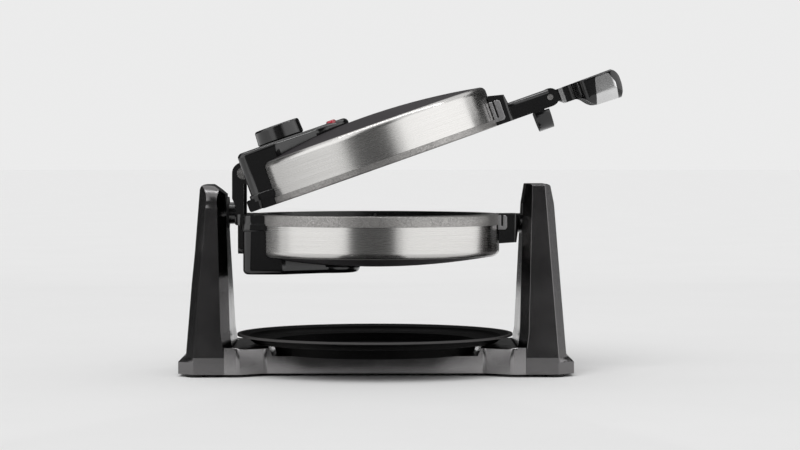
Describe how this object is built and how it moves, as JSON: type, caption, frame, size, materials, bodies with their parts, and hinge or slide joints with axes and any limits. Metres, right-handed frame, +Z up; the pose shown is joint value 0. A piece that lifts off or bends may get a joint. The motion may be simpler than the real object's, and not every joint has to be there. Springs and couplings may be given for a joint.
{
  "type": "rotating waffle maker",
  "caption": "Rotating waffle maker: round hinged head with two grid plates, held between two towers over a drip tray, with a dial and a folding grip.",
  "frame": {"origin": "on the table under the middle of the head, which is also the middle of the base", "axes": "+Z up, +X along the flip axis towards the handle, +Y to the side away from the viewer"},
  "size_m": [0.3718, 0.234, 0.2562],
  "materials": {
    "satin_black_plastic": "fine satin texture",
    "dark_plastic": "matte",
    "foot_rubber": "matte",
    "liner_plastic": "smooth, low friction",
    "brushed_steel": "brushed round the pan",
    "cast_grey": "speckled grey casting",
    "non_stick": "dark non-stick coat",
    "heater_steel": "dull",
    "gloss_black": "glossy moulded plastic",
    "pin_steel": "bright",
    "red_lens": "clear red",
    "green_lens": "clear green",
    "silver_trim": "silver coloured",
    "tray_enamel": "black non-stick enamel"
  },
  "bodies": {
    "base": {"front_tower": "satin_black_plastic", "rear_tower": "satin_black_plastic", "base_deck": "satin_black_plastic", "bottom_plate": "dark_plastic", "tower_plates": "dark_plastic", "rubber_feet": "foot_rubber", "cradle_liner": "liner_plastic", "rear_bush": "liner_plastic", "cord_gland": "foot_rubber"},
    "head": {"lower_pan": "brushed_steel", "lower_rim": "cast_grey", "lower_plate": "non_stick", "lower_element": "heater_steel", "lower_bracket": "gloss_black", "hinge_arms": "gloss_black", "hinge_pin": "pin_steel", "rear_trunnion": "gloss_black", "lower_lug": "gloss_black", "front_journal": "gloss_black"},
    "lid": {"upper_pan": "brushed_steel", "upper_rim": "cast_grey", "upper_plate": "non_stick", "upper_element": "heater_steel", "upper_bracket": "gloss_black", "hinge_knuckle": "gloss_black", "upper_lug": "gloss_black", "handle_bar": "gloss_black", "grip_pin": "pin_steel", "thermostat": "heater_steel", "power_lamp": "red_lens", "ready_lamp": "green_lens"},
    "dial": {"dial_knob": "gloss_black", "dial_shaft": "pin_steel"},
    "grip": {"grip": "satin_black_plastic", "grip_inserts": "silver_trim"},
    "tray": {"drip_tray": "tray_enamel"}
  },
  "joints": [
    {"name": "head_flip", "type": "hinge", "parent": "base", "child": "head", "pos_m": [0, 0, 0.135], "axis": [1, 0, 0], "range_deg": [0, 90]},
    {"name": "lid_hinge", "type": "hinge", "parent": "head", "child": "lid", "pos_m": [-0.1105, 0, 0.169], "axis": [0, 1, 0], "range_deg": [-75, 19.5]},
    {"name": "dial_turn", "type": "hinge", "parent": "lid", "child": "dial", "pos_m": [-0.07936, 0, 0.197], "axis": [-0.3338, 0, 0.9426], "range_deg": [0, 270]},
    {"name": "grip_fold", "type": "hinge", "parent": "lid", "child": "grip", "pos_m": [0.14838, 0, 0.23331], "axis": [0, 1, 0], "range_deg": [0, 60]},
    {"name": "tray_slide", "type": "slide", "parent": "base", "child": "tray", "axis": [0, -1, 0], "range_m": [0, 0.24]}
  ]
}
